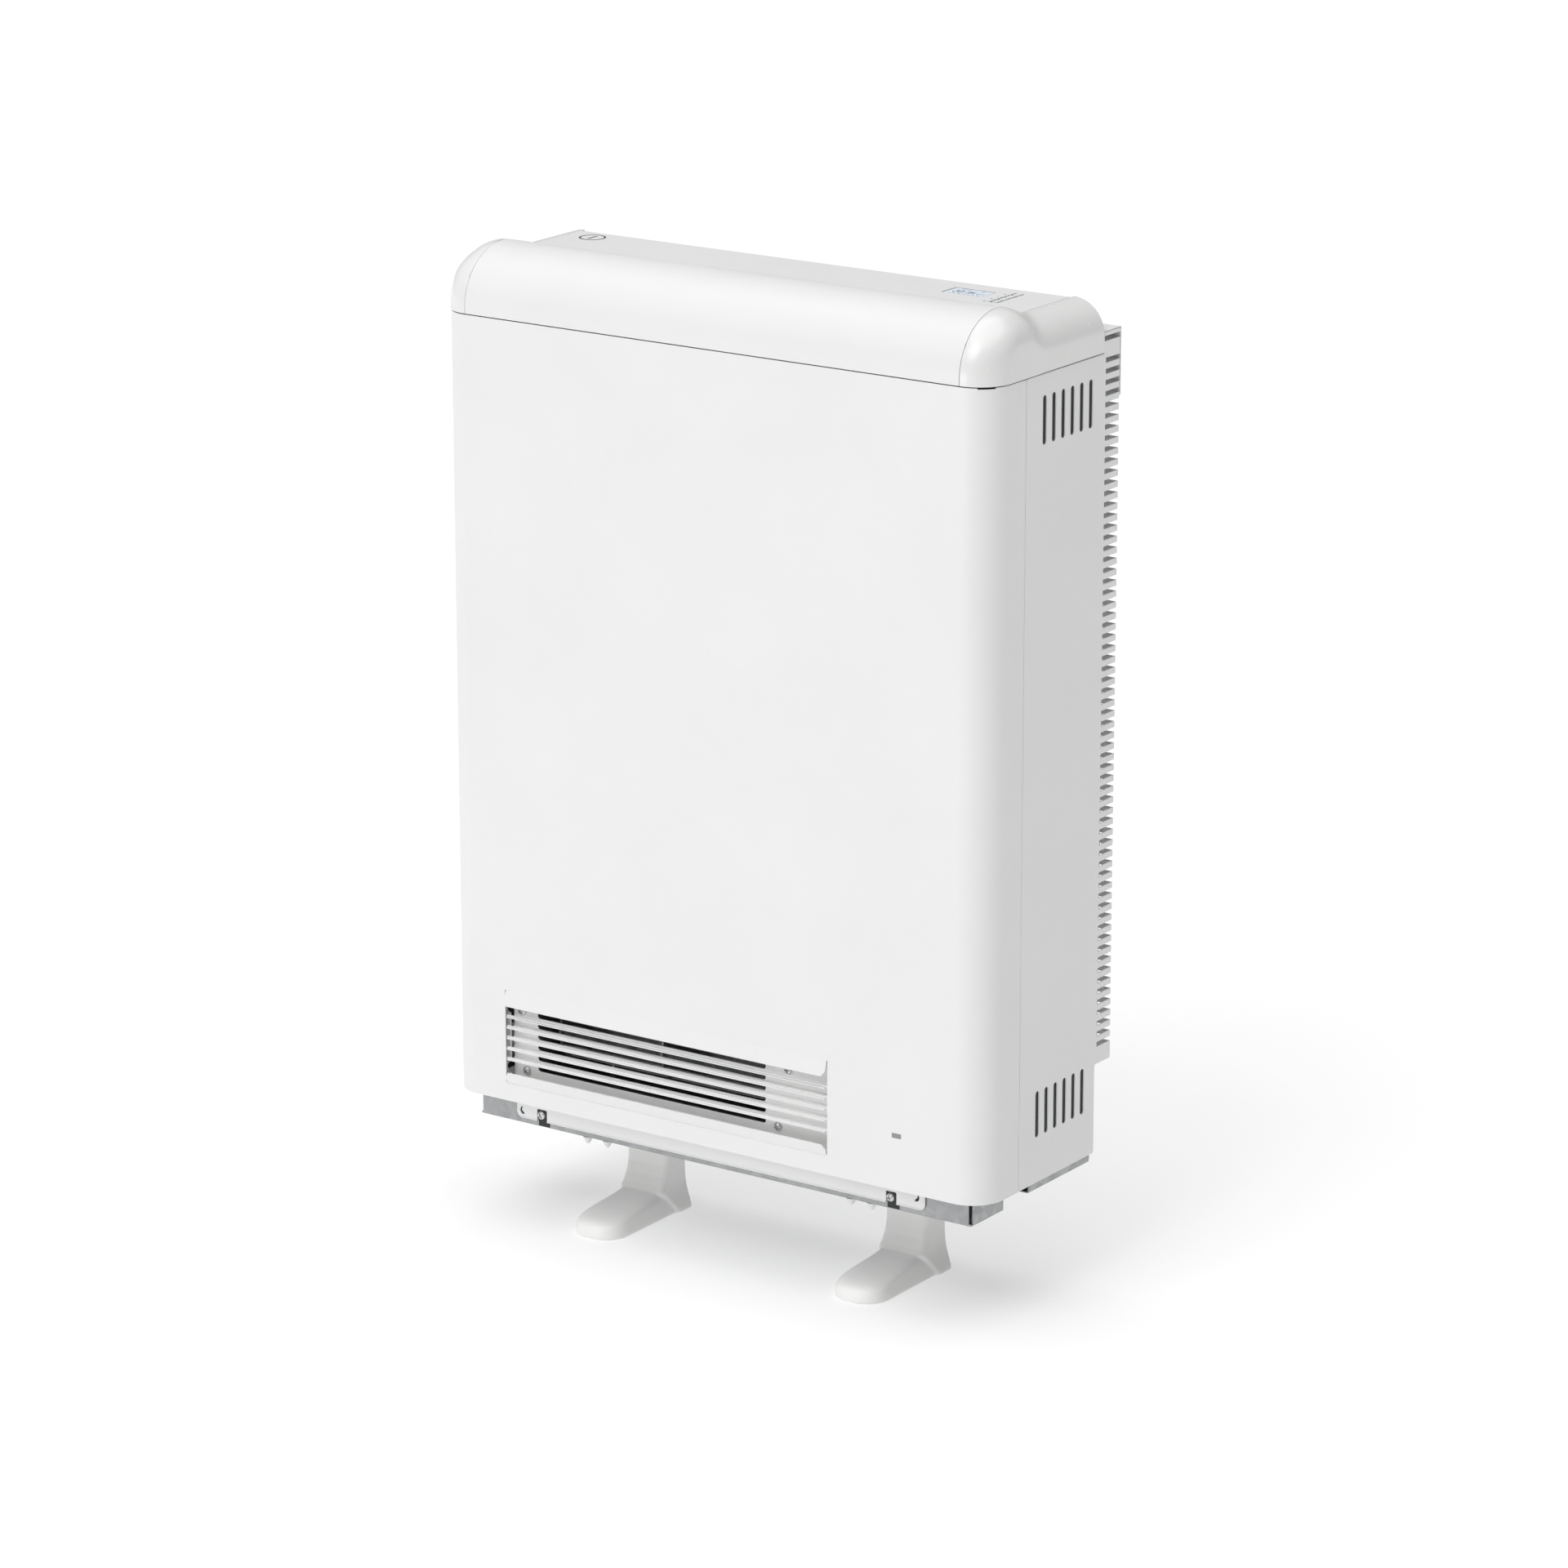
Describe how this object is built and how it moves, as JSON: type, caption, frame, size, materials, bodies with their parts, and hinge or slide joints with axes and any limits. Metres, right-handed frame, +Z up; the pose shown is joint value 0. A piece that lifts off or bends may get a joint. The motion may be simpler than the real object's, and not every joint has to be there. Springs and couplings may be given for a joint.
{
  "type": "storage heater",
  "caption": "Electric storage heater with a bull-nosed top, a louvred warm-air outlet at the lower front, side vents, rear spacing combs and boot-shaped feet.",
  "frame": {"origin": "on the floor, in the middle of the outer box", "axes": "+X to the right seen from the front, +Y backwards to the wall, +Z up; the front panel and warm-air outlet face -Y"},
  "size_m": [0.534, 0.1946, 0.827],
  "materials": {
    "white_enamel": "white powder-coated sheet steel, fine satin gloss",
    "cap_moulding": "white moulded plastic, soft gloss",
    "galvanised": "galvanised sheet steel with a fine spangle",
    "screw_steel": "bright zinc-plated pan-head screws, cross recess",
    "foot_moulding": "warm light-grey moulding, satin",
    "black_moulding": "black moulded plastic",
    "storage_brick": "dense dark pressed storage brick, matt",
    "insulation_board": "pale fibrous insulation board",
    "element_sheath": "heat-dulled metal-sheathed element",
    "circuit_board": "green circuit board with mounted parts",
    "display_glass": "pale blue-white backlit display window",
    "key_moulding": "light-grey keys",
    "terminal_ceramic": "off-white ceramic terminal block"
  },
  "bodies": {
    "casing": {"front_panel": "white_enamel", "side_panel_right": "white_enamel", "side_panel_left": "white_enamel", "top_cover": "white_enamel", "end_cap_right": "cap_moulding", "end_cap_left": "cap_moulding", "base_tray": "galvanised", "front_fixing_strip": "white_enamel", "fixing_screw_left": "screw_steel", "fixing_screw_right": "screw_steel", "outlet_screw_1": "screw_steel", "outlet_screw_2": "screw_steel", "outlet_screw_3": "screw_steel", "outlet_screw_4": "screw_steel", "outlet_grille": "white_enamel", "outlet_plate": "white_enamel", "fan_housing": "galvanised", "fan_motor": "black_moulding", "core_brick_1_left": "storage_brick", "core_brick_1_right": "storage_brick", "core_brick_2_left": "storage_brick", "core_brick_2_right": "storage_brick", "core_brick_3_left": "storage_brick", "core_brick_3_right": "storage_brick", "core_brick_4_left": "storage_brick", "core_brick_4_right": "storage_brick", "heating_element_1": "element_sheath", "heating_element_2": "element_sheath", "heating_element_3": "element_sheath", "insulation_front": "insulation_board", "insulation_back": "insulation_board", "insulation_left": "insulation_board", "insulation_right": "insulation_board", "insulation_top": "insulation_board", "insulation_bottom": "insulation_board", "back_panel": "galvanised", "wall_rail": "white_enamel", "foot_left": "foot_moulding", "foot_right": "foot_moulding", "tray_rivet_1": "foot_moulding", "tray_rivet_2": "foot_moulding", "tray_rivet_3": "foot_moulding", "tray_rivet_4": "foot_moulding", "display_module": "black_moulding", "lcd_window": "display_glass", "control_board": "circuit_board", "terminal_block": "terminal_ceramic", "thermal_cutout": "black_moulding", "cable_gland": "black_moulding"},
    "fan": {"fan_rotor": "galvanised"},
    "key_1_body": {"key_1": "key_moulding"},
    "key_2_body": {"key_2": "key_moulding"},
    "key_3_body": {"key_3": "key_moulding"},
    "key_4_body": {"key_4": "key_moulding"},
    "key_5_body": {"key_5": "key_moulding"},
    "key_6_body": {"key_6": "key_moulding"},
    "key_7_body": {"key_7": "key_moulding"},
    "key_8_body": {"key_8": "key_moulding"}
  },
  "joints": [
    {"name": "fan_spin", "type": "hinge", "parent": "casing", "child": "fan", "pos_m": [-0.067, -0.0295, 0.166], "axis": [1, 0, 0], "continuous": true},
    {"name": "key_1_press", "type": "slide", "parent": "casing", "child": "key_1_body", "axis": [0, 0, -1], "range_m": [0, 0.0005], "stiffness_N_per_m": 3000},
    {"name": "key_2_press", "type": "slide", "parent": "casing", "child": "key_2_body", "axis": [0, 0, -1], "range_m": [0, 0.0005], "stiffness_N_per_m": 3000},
    {"name": "key_3_press", "type": "slide", "parent": "casing", "child": "key_3_body", "axis": [0, 0, -1], "range_m": [0, 0.0005], "stiffness_N_per_m": 3000},
    {"name": "key_4_press", "type": "slide", "parent": "casing", "child": "key_4_body", "axis": [0, 0, -1], "range_m": [0, 0.0005], "stiffness_N_per_m": 3000},
    {"name": "key_5_press", "type": "slide", "parent": "casing", "child": "key_5_body", "axis": [0, 0, -1], "range_m": [0, 0.0005], "stiffness_N_per_m": 3000},
    {"name": "key_6_press", "type": "slide", "parent": "casing", "child": "key_6_body", "axis": [0, 0, -1], "range_m": [0, 0.0005], "stiffness_N_per_m": 3000},
    {"name": "key_7_press", "type": "slide", "parent": "casing", "child": "key_7_body", "axis": [0, 0, -1], "range_m": [0, 0.0005], "stiffness_N_per_m": 3000},
    {"name": "key_8_press", "type": "slide", "parent": "casing", "child": "key_8_body", "axis": [0, 0, -1], "range_m": [0, 0.0005], "stiffness_N_per_m": 3000}
  ]
}
